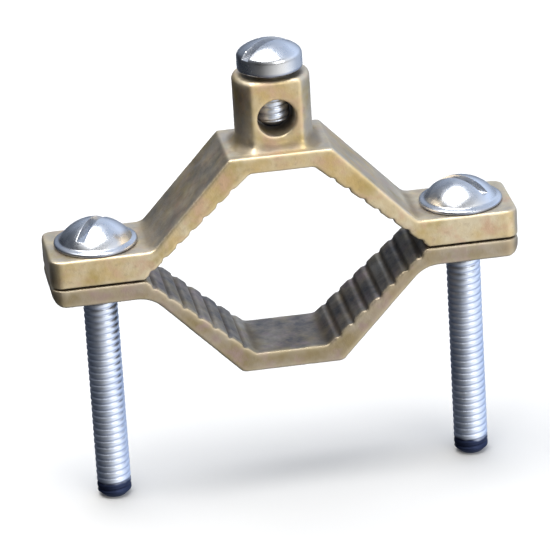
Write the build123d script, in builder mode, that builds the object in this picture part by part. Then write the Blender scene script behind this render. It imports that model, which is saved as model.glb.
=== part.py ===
from build123d import *
from math import asin, atan2, cos, degrees, radians, sin, sqrt
import os

# Cast bronze ground clamp for pipe: two V-shaped jaws, two jaw screws and one binding screw.
# Frame: the origin is the centre of the pipe passage, on the plane where the closed jaws meet.
# +Y runs along the pipe, +X towards the right ear and +Z towards the wire lug. Millimetres.

# ------------------------------------------------------------------ driving dimensions
strap_width = 16.0          # size of both jaws along the pipe
screw_spacing = 68.0        # between the two jaw screws
ear_end = 43.4              # from the pipe centre to the end of an ear
ear_corner_round = 2.4      # corners of an ear, seen from above
parting_gap = 0.2           # between the ears of the closed jaws
casting_edge = 0.45         # small radius on the edges of the castings

# upper jaw: x and z of each bend in its outline, on the right half
upper_ear_top = 5.5
upper_knee_x = 24.6
upper_crown_x = 9.5
upper_crown_z = 21.65
upper_flat_x = 5.9
upper_flat_z = 18.35
upper_mouth_x = 26.3

# lower jaw: x and z of each bend in its outline, on the right half
lower_ear_bottom = -3.65
lower_knee_x = 25.4
lower_base_x = 9.4
lower_base_z = -20.5
lower_flat_x = 6.6
lower_flat_z = -16.9
lower_mouth_x = 25.9

# serrations across the four sloping gripping faces
groove_count = 7
groove_pitch = 3.5
first_groove = 1.9          # from the mouth of the V to the middle of the first groove
groove_depth = 0.65         # a square-cornered V, so it is twice as wide as it is deep

# jaw screws, 1/4-20 UNC x 2 in, and the holes that they pass through
thread_major = 6.35
jaw_screw_length = 50.8
clearance_hole = 7.0
tapped_hole = 6.5           # as large as the thread's major diameter, with running clearance
flange_diameter = 15.4
flange_rim = 0.7
crown_diameter = 13.2
crown_foot = 1.1            # height of the flange at the foot of the crown
jaw_head_height = 4.6
slot_width = 1.7
slot_depth = 2.4
tip_chamfer = 1.1

# wire lug and its binding screw, 1/4-20 UNC x 7/16 in
lug_diameter = 14.3
lug_across_flats = 11.0
lug_top = 34.95
lug_top_chamfer = 0.6
lug_foot_round = 1.9
wire_hole = 7.0
wire_hole_z = 27.65
binding_screw_length = 11.1
binding_head_z = 35.8       # underside of the head, with the tip just off the hole's floor
binding_tip_chamfer = 1.6
binding_head_diameter = 12.0
binding_head_rim = 2.9
binding_head_height = 5.2
binding_head_round = 1.3     # where the rim of the head turns into its dome

# direction of each driver slot, in degrees about +Z
left_slot_angle = 55.0
right_slot_angle = -45.0
binding_slot_angle = 32.0

# ------------------------------------------------------------------ worked-out sizes
half_width = strap_width / 2
half_spacing = screw_spacing / 2
half_gap = parting_gap / 2
screw_places = ((-half_spacing, 0), (half_spacing, 0))
past = 2.0                  # how far a cutter runs past the face that it cuts
groove_side = groove_depth * sqrt(2)

os.makedirs("parts", exist_ok=True)


def both_halves(right_half):
    """Outline points and radii of a jaw, from those of its right half."""
    left_half = [(-x, z, radius) for x, z, radius in reversed(right_half)]
    corners = right_half + left_half
    points = [(x, z) for x, z, radius in corners]
    radii = [radius for x, z, radius in corners]
    return points, radii


def groove_places(mouth, flat):
    """Middle of each groove on the right gripping face, from the mouth of the V to its flat."""
    length = sqrt((flat[0] - mouth[0]) ** 2 + (flat[1] - mouth[1]) ** 2)
    shares = [(first_groove + groove_pitch * i) / length for i in range(groove_count)]
    return [
        (mouth[0] + share * (flat[0] - mouth[0]), mouth[1] + share * (flat[1] - mouth[1]))
        for share in shares
    ]


def face_angle(mouth, flat):
    """Slope of the right gripping face, in degrees."""
    return degrees(atan2(flat[1] - mouth[1], flat[0] - mouth[0]))


def outline_edges(solid):
    """Edges of a jaw where its outline meets its front and back faces."""
    on_faces = solid.edges().filter_by_position(Axis.Y, -half_width - 0.01, -half_width + 0.01)
    on_faces += solid.edges().filter_by_position(Axis.Y, half_width - 0.01, half_width + 0.01)
    return on_faces


def serrations(mouth, flat):
    """Bars to cut away from both gripping faces of a jaw, which leave its grooves."""
    with BuildPart() as bars:
        with BuildSketch(Plane.XZ):
            for side in (-1, 1):
                tilt = side * face_angle(mouth, flat)
                with Locations(*[(side * x, z) for x, z in groove_places(mouth, flat)]):
                    Rectangle(groove_side, groove_side, rotation=45 + tilt)
        extrude(amount=half_width + past, both=True)
    return bars.part


# ------------------------------------------------------------------ upper jaw with its wire lug
upper_mouth = (upper_mouth_x, half_gap)
upper_flat = (upper_flat_x, upper_flat_z)
upper_points, upper_radii = both_halves([
    (upper_crown_x, upper_crown_z, 0.8),
    (upper_knee_x, upper_ear_top, 2.2),
    (ear_end, upper_ear_top, 0.6),
    (ear_end, half_gap, 0.5),
    (*upper_mouth, 0.4),
    (*upper_flat, 0.8),
])

with BuildPart() as upper_jaw:
    with BuildSketch(Plane.XZ):
        with BuildLine():
            FilletPolyline(*upper_points, radius=upper_radii, close=True)
        make_face()
    extrude(amount=half_width, both=True)
    fillet(outline_edges(upper_jaw), radius=casting_edge)
    # the ears have round corners seen from above
    with BuildSketch(Plane.XY):
        RectangleRounded(2 * ear_end, strap_width, ear_corner_round)
    extrude(amount=upper_crown_z + past, mode=Mode.INTERSECT)
    # lug: a round post with a flat on its front and its back, where the wire goes through
    lug_root = (upper_flat_z + upper_crown_z) / 2
    with BuildSketch(Plane.XY.offset(lug_root)):
        Circle(lug_diameter / 2)
        Rectangle(lug_diameter, lug_across_flats, mode=Mode.INTERSECT)
    extrude(amount=lug_top - lug_root)
    lug_rim = upper_jaw.edges().filter_by_position(Axis.Z, lug_top - 0.01, lug_top + 0.01)
    chamfer(lug_rim, length=lug_top_chamfer)
    crown_edges = upper_jaw.edges().filter_by_position(Axis.Z, upper_crown_z - 0.01, upper_crown_z + 0.01)
    lug_foot = [
        edge for edge in crown_edges
        if abs(edge.center().Y) < lug_across_flats / 2 + 0.1
        and abs(edge.center().X) < lug_diameter / 2 + 0.1
    ]
    fillet(lug_foot, radius=lug_foot_round)
    add(serrations(upper_mouth, upper_flat), mode=Mode.SUBTRACT)
    # clearance holes for the jaw screws
    with BuildSketch(Plane.XY.offset(half_gap - past)):
        with Locations(*screw_places):
            Circle(clearance_hole / 2)
    extrude(amount=upper_ear_top + 2 * past, mode=Mode.SUBTRACT)
    # wire hole along the pipe's direction, and the tapped hole that meets it from above
    with BuildSketch(Plane.XZ):
        with Locations((0, wire_hole_z)):
            Circle(wire_hole / 2)
    extrude(amount=half_width + past, both=True, mode=Mode.SUBTRACT)
    with BuildSketch(Plane.XY.offset(wire_hole_z)):
        Circle(tapped_hole / 2)
    extrude(amount=lug_top - wire_hole_z + past, mode=Mode.SUBTRACT)

upper_jaw.part.label = "upper_jaw"
export_step(upper_jaw.part, "parts/upper_jaw.step")

# ------------------------------------------------------------------ lower jaw
lower_mouth = (lower_mouth_x, -half_gap)
lower_flat = (lower_flat_x, lower_flat_z)
lower_points, lower_radii = both_halves([
    (*lower_flat, 1.0),
    (*lower_mouth, 0.4),
    (ear_end, -half_gap, 0.5),
    (ear_end, lower_ear_bottom, 2.6),
    (lower_knee_x, lower_ear_bottom, 6.0),
    (lower_base_x, lower_base_z, 1.5),
])

with BuildPart() as lower_jaw:
    with BuildSketch(Plane.XZ):
        with BuildLine():
            FilletPolyline(*lower_points, radius=lower_radii, close=True)
        make_face()
    extrude(amount=half_width, both=True)
    fillet(outline_edges(lower_jaw), radius=casting_edge)
    with BuildSketch(Plane.XY):
        RectangleRounded(2 * ear_end, strap_width, ear_corner_round)
    extrude(amount=lower_base_z - past, mode=Mode.INTERSECT)
    add(serrations(lower_mouth, lower_flat), mode=Mode.SUBTRACT)
    # tapped holes, which run on the jaw screws
    with BuildSketch(Plane.XY.offset(past - half_gap)):
        with Locations(*screw_places):
            Circle(tapped_hole / 2)
    extrude(amount=lower_ear_bottom - 2 * past, mode=Mode.SUBTRACT)

lower_jaw.part.label = "lower_jaw"
export_step(lower_jaw.part, "parts/lower_jaw.step")


# ------------------------------------------------------------------ screws
def dome_shoulder(foot_radius, rise):
    """Radius and height, half-way along the arc of a dome, measured from its foot."""
    ball = (foot_radius ** 2 + rise ** 2) / (2 * rise)
    half_angle = asin(foot_radius / ball) / 2
    return ball * sin(half_angle), rise - ball * (1 - cos(half_angle))


shank = thread_major / 2
jaw_screws = (
    ("jaw_screw_left", -half_spacing, left_slot_angle),
    ("jaw_screw_right", half_spacing, right_slot_angle),
)
crown_radius = crown_diameter / 2
crown_rise = jaw_head_height - crown_foot
crown_shoulder = dome_shoulder(crown_radius, crown_rise)

for name, x, slot_angle in jaw_screws:
    section_plane = Plane(origin=(x, 0, upper_ear_top), x_dir=(1, 0, 0), z_dir=(0, -1, 0))
    slot_plane = Plane(
        origin=(x, 0, upper_ear_top + jaw_head_height - slot_depth),
        x_dir=(cos(radians(slot_angle)), sin(radians(slot_angle)), 0),
        z_dir=(0, 0, 1),
    )
    with BuildPart() as jaw_screw:
        with BuildSketch(section_plane):
            with BuildLine():
                Polyline(
                    (0, jaw_head_height),
                    (0, -jaw_screw_length),
                    (shank - tip_chamfer, -jaw_screw_length),
                    (shank, tip_chamfer - jaw_screw_length),
                    (shank, 0),
                    (flange_diameter / 2, 0),
                    (flange_diameter / 2, flange_rim),
                    (crown_radius, crown_foot),
                )
                ThreePointArc(
                    (crown_radius, crown_foot),
                    (crown_shoulder[0], crown_foot + crown_shoulder[1]),
                    (0, jaw_head_height),
                )
            make_face()
        revolve(axis=Axis((x, 0, 0), (0, 0, 1)))
        # driver slot across the crown
        with BuildSketch(slot_plane):
            Rectangle(flange_diameter + past, slot_width)
        extrude(amount=slot_depth + past, mode=Mode.SUBTRACT)
    jaw_screw.part.label = name
    export_step(jaw_screw.part, "parts/" + name + ".step")

binding_radius = binding_head_diameter / 2
binding_rise = binding_head_height - binding_head_rim
binding_shoulder = dome_shoulder(binding_radius, binding_rise)
binding_plane = Plane(origin=(0, 0, binding_head_z), x_dir=(1, 0, 0), z_dir=(0, -1, 0))
binding_slot_plane = Plane(
    origin=(0, 0, binding_head_z + binding_head_height - slot_depth),
    x_dir=(cos(radians(binding_slot_angle)), sin(radians(binding_slot_angle)), 0),
    z_dir=(0, 0, 1),
)

with BuildPart() as binding_screw:
    with BuildSketch(binding_plane):
        with BuildLine():
            Polyline(
                (0, binding_head_height),
                (0, -binding_screw_length),
                (shank - binding_tip_chamfer, -binding_screw_length),
                (shank, binding_tip_chamfer - binding_screw_length),
                (shank, 0),
                (binding_radius, 0),
                (binding_radius, binding_head_rim),
            )
            ThreePointArc(
                (binding_radius, binding_head_rim),
                (binding_shoulder[0], binding_head_rim + binding_shoulder[1]),
                (0, binding_head_height),
            )
        make_face()
    revolve(axis=Axis.Z)
    rim_z = binding_head_z + binding_head_rim
    head_rim = binding_screw.edges().filter_by_position(Axis.Z, rim_z - 0.01, rim_z + 0.01)
    fillet(head_rim, radius=binding_head_round)
    with BuildSketch(binding_slot_plane):
        Rectangle(binding_head_diameter + past, slot_width)
    extrude(amount=slot_depth + past, mode=Mode.SUBTRACT)

binding_screw.part.label = "binding_screw"
export_step(binding_screw.part, "parts/binding_screw.step")
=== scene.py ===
"""Looks of the ground clamp: two bronze castings, three plated screws, pale floor, soft light."""
import math

import bmesh
import bpy
import numpy as np
from mathutils import Matrix, Vector, noise


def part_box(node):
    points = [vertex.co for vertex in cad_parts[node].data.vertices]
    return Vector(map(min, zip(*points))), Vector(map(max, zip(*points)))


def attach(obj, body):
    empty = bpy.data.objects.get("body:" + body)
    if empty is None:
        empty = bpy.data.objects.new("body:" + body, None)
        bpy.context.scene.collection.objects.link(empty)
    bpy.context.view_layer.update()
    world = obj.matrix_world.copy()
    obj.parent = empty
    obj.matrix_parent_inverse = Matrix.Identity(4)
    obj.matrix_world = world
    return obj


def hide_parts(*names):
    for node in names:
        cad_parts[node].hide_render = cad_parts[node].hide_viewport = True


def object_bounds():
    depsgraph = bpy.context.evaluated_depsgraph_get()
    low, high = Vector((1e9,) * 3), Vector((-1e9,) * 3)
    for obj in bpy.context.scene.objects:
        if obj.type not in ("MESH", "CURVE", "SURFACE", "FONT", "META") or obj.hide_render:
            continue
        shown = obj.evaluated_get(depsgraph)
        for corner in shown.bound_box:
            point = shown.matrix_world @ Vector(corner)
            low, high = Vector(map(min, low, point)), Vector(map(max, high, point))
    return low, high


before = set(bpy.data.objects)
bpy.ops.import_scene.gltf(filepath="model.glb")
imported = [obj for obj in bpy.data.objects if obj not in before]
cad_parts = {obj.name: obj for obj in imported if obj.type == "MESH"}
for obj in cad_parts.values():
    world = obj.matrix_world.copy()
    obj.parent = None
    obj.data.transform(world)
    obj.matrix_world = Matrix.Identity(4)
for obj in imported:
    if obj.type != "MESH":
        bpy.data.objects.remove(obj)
cad_low, cad_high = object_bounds()
MM = 0.001

# ------------------------------------------------------------------ sizes and places
# jaw screws and binding screw: 1/4-20 thread, shallower than a real one
PITCH = 1.27 * MM
THREAD_CREST = 3.175 * MM
THREAD_ROOT = 2.95 * MM
# where a crest ends and a root begins, in pitches from the middle of the crest
CREST_END = 0.20
ROOT_START = 0.46
SCREW_COLUMNS = 84
ROWS_PER_PITCH = 12
DOME_ROWS = 24

# marks on the plate: painted shade in a thread's root, height of the painted contact shadow on a
# head's rim, how deep in the slot the painted shade, with some grime, starts and over what depth,
# and the ragged, fading edge of the dark tip
THREAD_ROOT_SHADE = 0.3
RIM_SHADOW_HEIGHT = 0.62 * MM
SLOT_SHADE_FROM = 0.2 * MM
SLOT_SHADE_OVER = 0.9 * MM
TIP_RAG = 0.4 * MM
TIP_FADE = 0.7 * MM

# driver slots
SLOT_WIDTH = 1.7 * MM
SLOT_DEPTH = 2.4 * MM
SLOT_BEVEL = 0.11 * MM

# screws in millimetres: length under the head, chamfer and dark band at the tip, the head's rings
# from its underside to the foot of its dome (radius, height), and the apex of the dome
JAW_SCREW = {
    "length": 50.8,
    "tip_chamfer": 1.1,
    "tip_band": 3.6,
    "skirt": [
        (7.45, 0.0), (7.62, 0.06), (7.7, 0.2), (7.7, 0.42), (7.62, 0.6), (7.4, 0.72),
        (7.1, 0.82), (6.82, 0.91), (6.66, 1.0),
    ],
    "foot": (6.58, 1.13),
    "top": 4.6,
}
BINDING_SCREW = {
    "length": 11.1,
    "tip_chamfer": 1.6,
    "tip_band": 1.0,
    "skirt": [
        (5.7, 0.0), (5.9, 0.07), (5.98, 0.25), (6.0, 0.7), (6.0, 1.5), (6.0, 2.29), (5.98, 2.52),
        (5.922, 2.738), (5.826, 2.943), (5.696, 3.129), (5.57, 3.259),
    ],
    "foot": (5.497, 3.32),
    "top": 5.2,
}
# the fillet under a head and the head's flat underside: height over the seat and radius
UNDER_HEAD = [(-0.2, 3.25), (-0.06, 3.35), (0.0, 3.5), (0.0, 4.2), (0.0, 5.2)]

# castings
CAST_VOXEL = 0.28 * MM
CAST_SMOOTHING = 5
# depths of the wide and the close dips in the cast skin
BROAD_DIPS = 0.045 * MM
CLOSE_DIPS = 0.022 * MM
# how far a point stands out where its edge gets wear and a painted highlight, and lies in where it
# gets painted shade and grime
WEAR_AND_HIGHLIGHT_BEND = 0.10 * MM
HOLLOW_BEND = 0.22 * MM

# camera, seen from the front, a little from the left and above
CAMERA_AZIMUTH = -8.08
CAMERA_ELEVATION = 23.11
CAMERA_ROLL = 3.5
CAMERA_DISTANCE = 0.8459
CAMERA_LENS = 300.8
AIM_LEFT = 1.04 * MM
AIM_BELOW = 4.89 * MM

# floor
FLOOR_COLOUR = (0.60, 0.591, 0.573, 1)
FLOOR_GLOW = 0.04
FLOOR_REACH = 6.0

# colours of the bronze; the lower jaw's are darker copies of the upper jaw's, painted shade where
# less light falls
UPPER_GOLD = (0.64, 0.475, 0.225, 1)
UPPER_PALE = (0.72, 0.63, 0.46, 1)
# faces that don't face front or back, upper jaw: painted reflection
UPPER_PAINTED_REFLECTION_OFF_FRONT = (0.54, 0.475, 0.39, 1)
# lower jaw: darker copies of the upper jaw's colours, painted shade
LOWER_SHADED_GOLD = (0.41, 0.32, 0.21, 1)
LOWER_SHADED_PALE = (0.44, 0.385, 0.31, 1)
# faces that don't face front or back, lower jaw: painted shade
LOWER_PAINTED_SHADE_OFF_FRONT = (0.145, 0.13, 0.125, 1)
SPECK_BROWN = (0.36, 0.28, 0.19, 1)
# hollows, grooves and fillets: painted shade, with some grime
HOLLOW_SHADE_AND_GRIME = (0.125, 0.10, 0.07, 1)
# edges: real wear, and a painted highlight
WORN_AND_HIGHLIGHT_GOLD = (0.78, 0.68, 0.48, 1)

# colours of the plate: shanks and heads each cloud between two; the heads' greyer pair is painted
# shade
SHANK_CLOUDS = (0.70, 0.77, 0.92, 1), (0.80, 0.86, 0.98, 1)
SHADED_HEAD_CLOUDS = (0.54, 0.555, 0.585, 1), (0.66, 0.67, 0.69, 1)
# painted shade in thread roots and slots, with some grime in the slots, and a painted contact
# shadow at a head's rim
PAINTED_SHADE_BLUE = (0.20, 0.23, 0.33, 1)
# a dark blue-black band at the tip of each screw
DARK_TIP = (0.035, 0.046, 0.095, 1)


def link(obj):
    bpy.context.scene.collection.objects.link(obj)
    return obj


# ------------------------------------------------------------------ camera
def add_camera():
    azimuth = math.radians(CAMERA_AZIMUTH)
    elevation = math.radians(CAMERA_ELEVATION)
    roll = math.radians(CAMERA_ROLL)
    back = Vector((
        math.sin(azimuth) * math.cos(elevation),
        -math.cos(azimuth) * math.cos(elevation),
        math.sin(elevation),
    ))
    level_right = (-back).cross(Vector((0, 0, 1))).normalized()
    level_up = level_right.cross(-back)
    right = level_right * math.cos(roll) - level_up * math.sin(roll)
    up = level_up * math.cos(roll) + level_right * math.sin(roll)
    target = -right * AIM_LEFT - up * AIM_BELOW
    data = bpy.data.cameras.new("camera")
    data.lens = CAMERA_LENS
    data.sensor_width = 36.0
    data.clip_start = 0.05
    data.clip_end = 50.0
    camera = link(bpy.data.objects.new("camera", data))
    place = target + back * CAMERA_DISTANCE
    turn = Matrix((right, up, back)).transposed().to_4x4()
    camera.matrix_world = Matrix.Translation(place) @ turn
    bpy.context.scene.camera = camera


# ------------------------------------------------------------------ node helpers
def new_material(name):
    material = bpy.data.materials.new(name)
    material.use_nodes = True
    nodes = material.node_tree.nodes
    nodes.clear()
    output = nodes.new("ShaderNodeOutputMaterial")
    shader = nodes.new("ShaderNodeBsdfPrincipled")
    material.node_tree.links.new(shader.outputs[0], output.inputs[0])
    return material, shader


class Graph:
    """Short calls for building the nodes of a material or the world."""

    def __init__(self, tree):
        self.tree = tree
        self.place = self.add("ShaderNodeTexCoord").outputs["Object"]

    def add(self, kind, **settings):
        node = self.tree.nodes.new(kind)
        for key, value in settings.items():
            setattr(node, key, value)
        return node

    def plug(self, socket, value):
        if isinstance(value, bpy.types.NodeSocket):
            self.tree.links.new(value, socket)
        else:
            socket.default_value = value

    def noise(self, scale, detail, rough, place=None):
        node = self.add("ShaderNodeTexNoise")
        self.plug(node.inputs["Vector"], place or self.place)
        node.inputs["Scale"].default_value = scale
        node.inputs["Detail"].default_value = detail
        node.inputs["Roughness"].default_value = rough
        return node.outputs["Fac"]

    def shifted(self, offset):
        """The place moved by an offset, so that two noises don't share a pattern."""
        node = self.add("ShaderNodeVectorMath", operation="ADD")
        self.plug(node.inputs[0], self.place)
        self.plug(node.inputs[1], offset)
        return node.outputs[0]

    def attribute(self, name):
        return self.add("ShaderNodeAttribute", attribute_name=name).outputs["Fac"]

    def math(self, operation, a, b):
        node = self.add("ShaderNodeMath", operation=operation)
        self.plug(node.inputs[0], a)
        self.plug(node.inputs[1], b)
        return node.outputs[0]

    def spread(self, value, low, high, out_low=0.0, out_high=1.0):
        node = self.add("ShaderNodeMapRange")
        self.plug(node.inputs["Value"], value)
        node.inputs["From Min"].default_value = low
        node.inputs["From Max"].default_value = high
        node.inputs["To Min"].default_value = out_low
        node.inputs["To Max"].default_value = out_high
        return node.outputs["Result"]

    def blend(self, share, a, b):
        node = self.add("ShaderNodeMix", data_type="RGBA")
        self.plug(node.inputs["Factor"], share)
        self.plug(node.inputs["A"], a)
        self.plug(node.inputs["B"], b)
        return node.outputs["Result"]

    def bump(self, height, strength, distance, normal=None):
        node = self.add("ShaderNodeBump")
        node.inputs["Strength"].default_value = strength
        node.inputs["Distance"].default_value = distance
        self.plug(node.inputs["Height"], height)
        if normal is not None:
            self.plug(node.inputs["Normal"], normal)
        return node.outputs["Normal"]


# ------------------------------------------------------------------ materials
def bronze_material(name, gold, pale, painted_light_off_front):
    """Sand-cast bronze: golden front and back faces with a painted reflection on the other faces of
    the upper jaw and painted shade on those of the lower, edges with wear and a painted highlight,
    and painted shade with some grime in the hollows.
    """
    material, shader = new_material(name)
    g = Graph(material.node_tree)
    cloud = g.noise(85.0, 4.0, 0.6)
    fine = g.noise(900.0, 3.0, 0.6)
    red, green, blue = gold[:3]
    olive = (0.75 * red, 0.75 * green, 0.55 * blue, 1)
    rosy = (red, 0.92 * green, 1.35 * blue, 1)
    side = g.blend(g.spread(cloud, 0.40, 0.62), gold, pale)
    patches = g.noise(140.0, 3.0, 0.6, g.shifted((0.3, 0.1, 0.7)))
    side = g.blend(g.spread(patches, 0.48, 0.66, 0.0, 0.75), side, olive)
    patches = g.noise(230.0, 3.0, 0.6, g.shifted((0.8, 0.5, 0.2)))
    side = g.blend(g.spread(patches, 0.50, 0.66, 0.0, 0.8), side, rosy)
    # faces that don't face front or back take this colour: painted reflection on the upper jaw,
    # painted shade on the lower
    painted_off_front_colour = g.blend(g.spread(g.noise(190.0, 4.0, 0.65), 0.35, 0.65), painted_light_off_front, side)
    colour = g.blend(g.attribute("side"), painted_off_front_colour, side)
    speck = g.spread(fine, 0.56, 0.72)
    colour = g.blend(g.math("MULTIPLY", speck, 0.35), colour, SPECK_BROWN)
    hollow = g.attribute("hollow")
    # painted shade, with some grime, in the hollows
    colour = g.blend(g.math("MULTIPLY", hollow, 0.62), colour, HOLLOW_SHADE_AND_GRIME)
    wear_and_highlight = g.attribute("wear_and_highlight")
    # edges lighter: real wear, and a painted highlight
    colour = g.blend(g.math("MULTIPLY", wear_and_highlight, 0.3), colour, WORN_AND_HIGHLIGHT_GOLD)
    g.plug(shader.inputs["Base Color"], colour)
    shader.inputs["Metallic"].default_value = 1.0
    rough = g.spread(g.noise(260.0, 4.0, 0.65), 0.3, 0.7, 0.38, 0.54)
    rough = g.math("ADD", rough, g.math("MULTIPLY", hollow, 0.2))
    rough = g.math("ADD", rough, g.math("MULTIPLY", wear_and_highlight, 0.05))
    g.plug(shader.inputs["Roughness"], rough)
    sand = g.bump(g.noise(2400.0, 3.0, 0.7), 0.6, 0.05 * MM)
    lumps = g.bump(g.noise(620.0, 3.0, 0.6), 0.75, 0.09 * MM, sand)
    g.plug(shader.inputs["Normal"], lumps)
    return material


def plated_material():
    """Zinc plate: blue-white shanks, heads greyer with painted shade, painted shade in thread roots
    and slots, blue-black tips.
    """
    material, shader = new_material("bright_plate")
    g = Graph(material.node_tree)
    cloud = g.noise(160.0, 3.0, 0.55)
    shank = g.blend(g.spread(cloud, 0.35, 0.65), *SHANK_CLOUDS)
    # heads darker than the shanks of the same plate: painted shade
    dome = g.blend(g.spread(cloud, 0.35, 0.65), *SHADED_HEAD_CLOUDS)
    head = g.attribute("head")
    colour = g.blend(head, shank, dome)
    # painted shade in thread roots and the slot, and a painted contact shadow at the head's rim
    colour = g.blend(g.math("MULTIPLY", g.attribute("root"), 0.85), colour, PAINTED_SHADE_BLUE)
    tip = g.attribute("tip")
    colour = g.blend(tip, colour, DARK_TIP)
    g.plug(shader.inputs["Base Color"], colour)
    shader.inputs["Metallic"].default_value = 1.0
    rough = g.spread(g.noise(420.0, 3.0, 0.6), 0.3, 0.7, 0.22, 0.34)
    rough = g.math("ADD", rough, g.math("MULTIPLY", tip, 0.12))
    not_head = g.math("SUBTRACT", 1.0, head)
    rough = g.math("ADD", rough, g.math("MULTIPLY", not_head, 0.12))
    g.plug(shader.inputs["Roughness"], rough)
    g.plug(shader.inputs["Normal"], g.bump(g.noise(1500.0, 3.0, 0.6), 0.12, 0.03 * MM))
    return material


# ------------------------------------------------------------------ mesh helpers
def set_attribute(mesh, name, values):
    attribute = mesh.attributes.get(name) or mesh.attributes.new(name, "FLOAT", "POINT")
    attribute.data.foreach_set("value", values.astype(np.float32))


def vertex_places(mesh):
    places = np.zeros(len(mesh.vertices) * 3, np.float32)
    mesh.vertices.foreach_get("co", places)
    return places.reshape(-1, 3).astype(float)


def vertex_normals(mesh):
    normals = np.zeros(len(mesh.vertices) * 3, np.float32)
    mesh.vertex_normals.foreach_get("vector", normals)
    return normals.reshape(-1, 3).astype(float)


def edge_ends(mesh):
    ends = np.zeros(len(mesh.edges) * 2, np.int32)
    mesh.edges.foreach_get("vertices", ends)
    return ends.reshape(-1, 2)


def neighbour_mean(values, ends, count):
    """Mean of each vertex's neighbours, for a list of numbers or of points."""
    shape = (count,) + values.shape[1:]
    total = np.zeros(shape)
    np.add.at(total, ends[:, 0], values[ends[:, 1]])
    np.add.at(total, ends[:, 1], values[ends[:, 0]])
    share = np.bincount(ends.ravel(), minlength=count)
    share = share.reshape((count,) + (1,) * (values.ndim - 1))
    return total / np.maximum(share, 1)


def surface_bend(mesh, ends, softening):
    """How much each vertex stands out of its neighbours (above 0) or lies in a hollow (below 0)."""
    places = vertex_places(mesh)
    smooth = places
    for _ in range(softening):
        smooth = neighbour_mean(smooth, ends, len(places))
    return ((places - smooth) * vertex_normals(mesh)).sum(1)


# ------------------------------------------------------------------ castings
def cast_piece(node, name, seed, material):
    """A casting in its node's shape, with rounded edges, uneven skin, and masks for edges with wear
    and a painted highlight, hollows with painted shade and grime, and faces that face front or
    back.
    """
    draft = link(bpy.data.objects.new(name + "_draft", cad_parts[node].data.copy()))
    remesh = draft.modifiers.new("remesh", "REMESH")
    remesh.mode = "VOXEL"
    remesh.voxel_size = CAST_VOXEL
    smooth = draft.modifiers.new("smooth", "SMOOTH")
    smooth.factor = 0.5
    smooth.iterations = CAST_SMOOTHING
    bpy.context.view_layer.update()
    shaped = draft.evaluated_get(bpy.context.evaluated_depsgraph_get())
    mesh = bpy.data.meshes.new_from_object(shaped)
    bpy.data.objects.remove(draft)
    places = vertex_places(mesh)
    normals = vertex_normals(mesh)
    shift = Vector((seed * 3.1, seed * 1.7, seed * 0.9))
    sink = np.zeros(len(places))
    for i, place in enumerate(places):
        here = Vector(place)
        broad = noise.noise(here * 260 + shift)
        close = noise.noise(here * 1100 + shift)
        sink[i] = BROAD_DIPS * (broad + 1) / 2 + CLOSE_DIPS * (close + 1) / 2
    places -= normals * sink[:, None]
    mesh.vertices.foreach_set("co", places.astype(np.float32).ravel())
    mesh.update()
    ends = edge_ends(mesh)
    bend = surface_bend(mesh, ends, 8)
    wide_bend = surface_bend(mesh, ends, 60)
    for _ in range(2):
        bend = neighbour_mean(bend, ends, len(bend))
    # edges: wear, and a painted highlight
    set_attribute(mesh, "wear_and_highlight", np.clip(bend / WEAR_AND_HIGHLIGHT_BEND - 0.15, 0, 1))
    # hollows: painted shade, with some grime
    set_attribute(mesh, "hollow", np.clip(-wide_bend / HOLLOW_BEND - 0.1, 0, 1))
    # faces that face front or back keep the golden colours; the others take a colour that is
    # painted reflection on the upper jaw and painted shade on the lower
    set_attribute(mesh, "side", np.clip(np.abs(vertex_normals(mesh)[:, 1]) * 4 - 2.6, 0, 1))
    mesh.polygons.foreach_set("use_smooth", np.ones(len(mesh.polygons), bool))
    mesh.materials.clear()
    mesh.materials.append(material)
    piece = link(bpy.data.objects.new(name, mesh))
    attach(piece, node)
    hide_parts(node)


# ------------------------------------------------------------------ screws
def thread_radius(z, angle):
    """Radius of a right-handed thread, with broad rolled crests and narrow roots."""
    phase = (z / PITCH - angle / (2 * np.pi)) % 1.0
    from_crest = np.abs(phase - 0.5)
    fall = np.clip((from_crest - CREST_END) / (ROOT_START - CREST_END), 0, 1)
    fall = fall * fall * (3 - 2 * fall) * 0.35 + fall * 0.65
    return THREAD_CREST - (THREAD_CREST - THREAD_ROOT) * fall


def dome_ball(foot, top):
    """Radius of the ball that a dome is cut from, and the height of its centre."""
    rise = top - foot[1]
    ball = (foot[0] ** 2 + rise ** 2) / (2 * rise)
    return ball, top - ball


def dome_rings(foot, top, count):
    """Radius and height of rings up a dome, from just above its foot to just below its apex."""
    ball, centre = dome_ball(foot, top)
    first = math.atan2(foot[1] - centre, foot[0])
    steps = [first + (math.pi / 2 - first) * i / count for i in range(1, count)]
    return [(ball * math.cos(a), centre + ball * math.sin(a)) for a in steps]


def screw_rows(tip, seat, screw):
    """Rings of a screw, tip to apex: height, outer radius and whether it has the thread."""
    flat = THREAD_CREST - screw["tip_chamfer"] * MM
    rows = [(tip, flat * share, False) for share in (0.4, 0.75, 0.95)]
    rows.append((tip + 0.05 * MM, flat, False))
    thread_start, thread_end = tip + 0.15 * MM, seat - 0.35 * MM
    for z in np.arange(thread_start, thread_end, PITCH / ROWS_PER_PITCH):
        rows.append((z, min(THREAD_CREST, flat + z - tip), True))
    rows += [(seat + h * MM, r * MM, False) for h, r in UNDER_HEAD]
    dome = dome_rings(screw["foot"], screw["top"], DOME_ROWS)
    rings = screw["skirt"] + [screw["foot"]] + dome
    rows += [(seat + h * MM, r * MM, False) for r, h in rings]
    return rows


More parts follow.
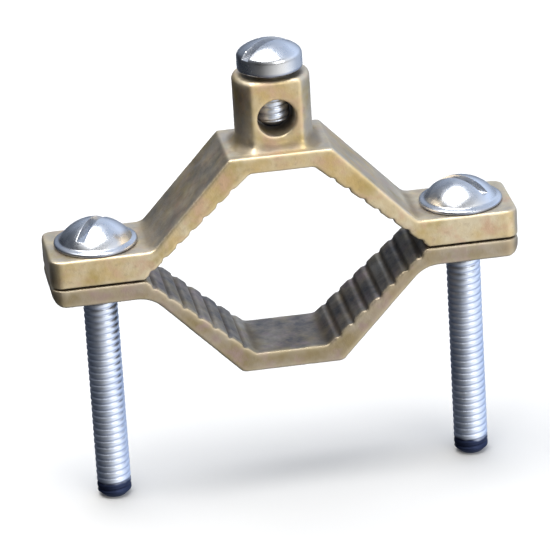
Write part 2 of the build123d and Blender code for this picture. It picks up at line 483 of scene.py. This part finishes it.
def turned_mesh(name, axis_x, rows, apex):
    """A closed mesh that goes round the screw's axis, ring by ring."""
    n = SCREW_COLUMNS
    angles = np.arange(n) * 2 * np.pi / n
    points = [(axis_x, 0.0, rows[0][0])]
    for z, limit, threaded in rows:
        radius = np.full(n, limit)
        if threaded:
            radius = np.minimum(thread_radius(z, angles), limit)
        points += [
            (axis_x + r * math.cos(a), r * math.sin(a), z) for r, a in zip(radius, angles)
        ]
    points.append((axis_x, 0.0, apex))
    last = len(points) - 1
    faces = []
    for i in range(n):
        j = (i + 1) % n
        faces.append((0, 1 + j, 1 + i))
        faces.append((last, last - n + i, last - n + j))
        for k in range(len(rows) - 1):
            a, b = 1 + k * n, 1 + (k + 1) * n
            faces.append((a + i, a + j, b + j, b + i))
    mesh = bpy.data.meshes.new(name)
    mesh.from_pydata(points, [], faces)
    return mesh


def mark_plate(mesh, axis_x, tip, seat, screw):
    """Stores where shade is painted on the plate (thread roots, slot, and a contact shadow at the
    head's rim), where the head is and the dark tip.
    """
    places = vertex_places(mesh)
    radius = np.hypot(places[:, 0] - axis_x, places[:, 1])
    height = places[:, 2] - seat
    depth = (THREAD_CREST - radius) / (THREAD_CREST - THREAD_ROOT)
    # painted shade in the thread roots
    root = np.where(height < 0, depth * THREAD_ROOT_SHADE, 0)
    foot_radius, foot_height = (v * MM for v in screw["foot"])
    ball, centre = dome_ball((foot_radius, foot_height), screw["top"] * MM)
    dome = centre + np.sqrt(np.maximum(ball ** 2 - radius ** 2, 0))
    # painted shade, with some grime, down in the slot
    sunk = (dome - height - SLOT_SHADE_FROM) / SLOT_SHADE_OVER
    root = np.where((height > foot_height) & (radius < foot_radius), sunk, root)
    # a painted contact shadow on the head's rim just above the seat
    on_rim = (height >= 0) & (height < RIM_SHADOW_HEIGHT)
    root = np.where(on_rim, 1.25 - height / RIM_SHADOW_HEIGHT, root)
    set_attribute(mesh, "root", np.clip(root, 0, 1))
    set_attribute(mesh, "head", np.clip(height / (0.1 * MM) + 1, 0, 1))
    ragged = np.array([noise.noise(Vector(p) * 700) for p in places]) * TIP_RAG
    edge = tip + screw["tip_band"] * MM + ragged - places[:, 2]
    set_attribute(mesh, "tip", np.clip(edge / TIP_FADE, 0, 1))


def screw_piece(node, name, screw, slot_angle):
    """A threaded, slotted screw in its CAD node's place."""
    low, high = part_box(node)
    axis_x = (low.x + high.x) / 2
    tip = low.z
    seat = tip + screw["length"] * MM
    apex = seat + screw["top"] * MM
    mesh = turned_mesh(name, axis_x, screw_rows(tip, seat, screw), apex)
    draft = link(bpy.data.objects.new(name + "_draft", mesh))
    cutter = slot_cutter(axis_x, apex, slot_angle)
    cut = draft.modifiers.new("slot", "BOOLEAN")
    cut.operation = "DIFFERENCE"
    cut.solver = "EXACT"
    cut.object = cutter
    bpy.context.view_layer.update()
    shaped = draft.evaluated_get(bpy.context.evaluated_depsgraph_get())
    final = bpy.data.meshes.new_from_object(shaped)
    bpy.data.objects.remove(draft)
    bpy.data.objects.remove(cutter)
    soften_slot(final, seat + 1.5 * MM)
    mark_plate(final, axis_x, tip, seat, screw)
    final.polygons.foreach_set("use_smooth", np.ones(len(final.polygons), bool))
    final.materials.clear()
    final.materials.append(PLATE)
    piece = link(bpy.data.objects.new(name, final))
    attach(piece, node)
    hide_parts(node)


def slot_cutter(axis_x, head_top, slot_angle):
    """A box that cuts the driver slot."""
    mesh = bpy.data.meshes.new("slot_cutter")
    bm = bmesh.new()
    bmesh.ops.create_cube(bm, size=1.0)
    for v in bm.verts:
        v.co.x *= 20 * MM
        v.co.y *= SLOT_WIDTH
        v.co.z = head_top - SLOT_DEPTH if v.co.z < 0 else head_top + 2 * MM
    turn = math.radians(slot_angle)
    for v in bm.verts:
        x, y = v.co.x, v.co.y
        v.co.x = axis_x + x * math.cos(turn) - y * math.sin(turn)
        v.co.y = x * math.sin(turn) + y * math.cos(turn)
    bm.to_mesh(mesh)
    bm.free()
    return link(bpy.data.objects.new("slot_cutter", mesh))


def soften_slot(mesh, lowest):
    """Rounds the edges that the slot left on the head."""
    bm = bmesh.new()
    bm.from_mesh(mesh)
    bmesh.ops.remove_doubles(bm, verts=bm.verts, dist=0.004 * MM)
    sharp = [
        e for e in bm.edges
        if len(e.link_faces) == 2
        and min(v.co.z for v in e.verts) > lowest
        and e.calc_face_angle(0) > math.radians(30)
    ]
    bmesh.ops.bevel(
        bm, geom=sharp, offset=SLOT_BEVEL, offset_type="OFFSET", segments=2,
        profile=0.5, affect="EDGES", clamp_overlap=True,
    )
    bm.to_mesh(mesh)
    bm.free()


# ------------------------------------------------------------------ stage
def add_floor():
    mesh = bpy.data.meshes.new("floor")
    corners = [(-1, -1), (1, -1), (1, 1), (-1, 1)]
    points = [(x * FLOOR_REACH, y * FLOOR_REACH, cad_low.z) for x, y in corners]
    mesh.from_pydata(points, [], [(0, 1, 2, 3)])
    material, shader = new_material("floor_paper")
    shader.inputs["Base Color"].default_value = FLOOR_COLOUR
    shader.inputs["Roughness"].default_value = 0.9
    shader.inputs["Specular IOR Level"].default_value = 0.0
    shader.inputs["Emission Color"].default_value = (1, 1, 1, 1)
    shader.inputs["Emission Strength"].default_value = FLOOR_GLOW
    mesh.materials.append(material)
    floor = link(bpy.data.objects.new("floor", mesh))
    floor.visible_glossy = False


def add_area_light(name, place, aim, size, power):
    data = bpy.data.lights.new(name, "AREA")
    data.shape = "RECTANGLE"
    data.size = size[0]
    data.size_y = size[1]
    data.energy = power
    light = link(bpy.data.objects.new(name, data))
    light.location = place
    light.rotation_mode = "QUATERNION"
    light.rotation_quaternion = (Vector(aim) - Vector(place)).to_track_quat("-Z", "Y")
    return light


def add_world():
    """A soft studio: cool behind, dim to the left, bright to the right and low in front."""
    world = bpy.data.worlds.new("studio")
    bpy.context.scene.world = world
    world.use_nodes = True
    tree = world.node_tree
    tree.nodes.clear()
    g = Graph(tree)
    place = g.add("ShaderNodeTexCoord").outputs["Generated"]
    split = g.add("ShaderNodeSeparateXYZ")
    g.plug(split.inputs[0], place)
    x, y, z = split.outputs
    across = g.spread(x, -0.58, 0.38, 0.11, 1.0)
    rising = g.spread(z, 0.05, 0.40, 0.0, 0.68)
    middle = g.math("MULTIPLY", rising, g.spread(z, 0.5, 0.8, 1.0, 0.3))
    zenith = g.spread(z, 0.6, 0.95, 0.0, 0.2)
    below = g.math("MULTIPLY", g.spread(z, 0.0, -0.3, 0.0, 0.97), g.spread(y, 0.1, -0.6))
    right = g.spread(x, 0.35, 0.9, 0.36, 0.72)
    level = g.math("ADD", g.math("ADD", middle, right), below)
    light = g.math("ADD", g.math("MULTIPLY", across, level), zenith)
    tint = g.blend(g.spread(y, -0.7, 0.2), (1.0, 0.99, 0.96, 1), (0.80, 0.94, 1.20, 1))
    background = g.add("ShaderNodeBackground")
    g.plug(background.inputs["Color"], tint)
    g.plug(background.inputs["Strength"], light)
    output = g.add("ShaderNodeOutputWorld")
    tree.links.new(background.outputs[0], output.inputs[0])


def add_lights():
    add_area_light(
        "key_softbox", place=(-0.10, -0.05, 0.55), aim=(0, 0, -0.04), size=(0.46, 0.46), power=4.6,
    )
    add_area_light(
        "front_softbox", place=(0.45, -0.9, 0.45), aim=(0, 0, 0), size=(0.6, 0.5), power=3.0,
    )
    # for the floor behind the clamp, which the other two leave grey
    floor_light = add_area_light(
        "floor_softbox", place=(0, 0.55, 0.5), aim=(0, 0.33, -0.04), size=(0.9, 0.3), power=1.1,
    )
    floor_light.data.spread = 1.5
    floor_light.visible_glossy = False


# ------------------------------------------------------------------ scene
bpy.context.scene.view_settings.view_transform = "Standard"
add_camera()
add_world()
add_floor()
add_lights()
UPPER_BRONZE = bronze_material("upper_bronze", UPPER_GOLD, UPPER_PALE, UPPER_PAINTED_REFLECTION_OFF_FRONT)
# a darker copy of the bronze for the lower jaw: painted shade
SHADED_LOWER_BRONZE = bronze_material("lower_bronze_painted_shade", LOWER_SHADED_GOLD, LOWER_SHADED_PALE, LOWER_PAINTED_SHADE_OFF_FRONT)
PLATE = plated_material()
cast_piece("upper_jaw", "upper_jaw_casting", seed=1, material=UPPER_BRONZE)
cast_piece("lower_jaw", "lower_jaw_casting", seed=2, material=SHADED_LOWER_BRONZE)
screw_piece("jaw_screw_left", "left_jaw_screw", JAW_SCREW, slot_angle=55.0)
screw_piece("jaw_screw_right", "right_jaw_screw", JAW_SCREW, slot_angle=-45.0)
screw_piece("binding_screw", "lug_binding_screw", BINDING_SCREW, slot_angle=32.0)
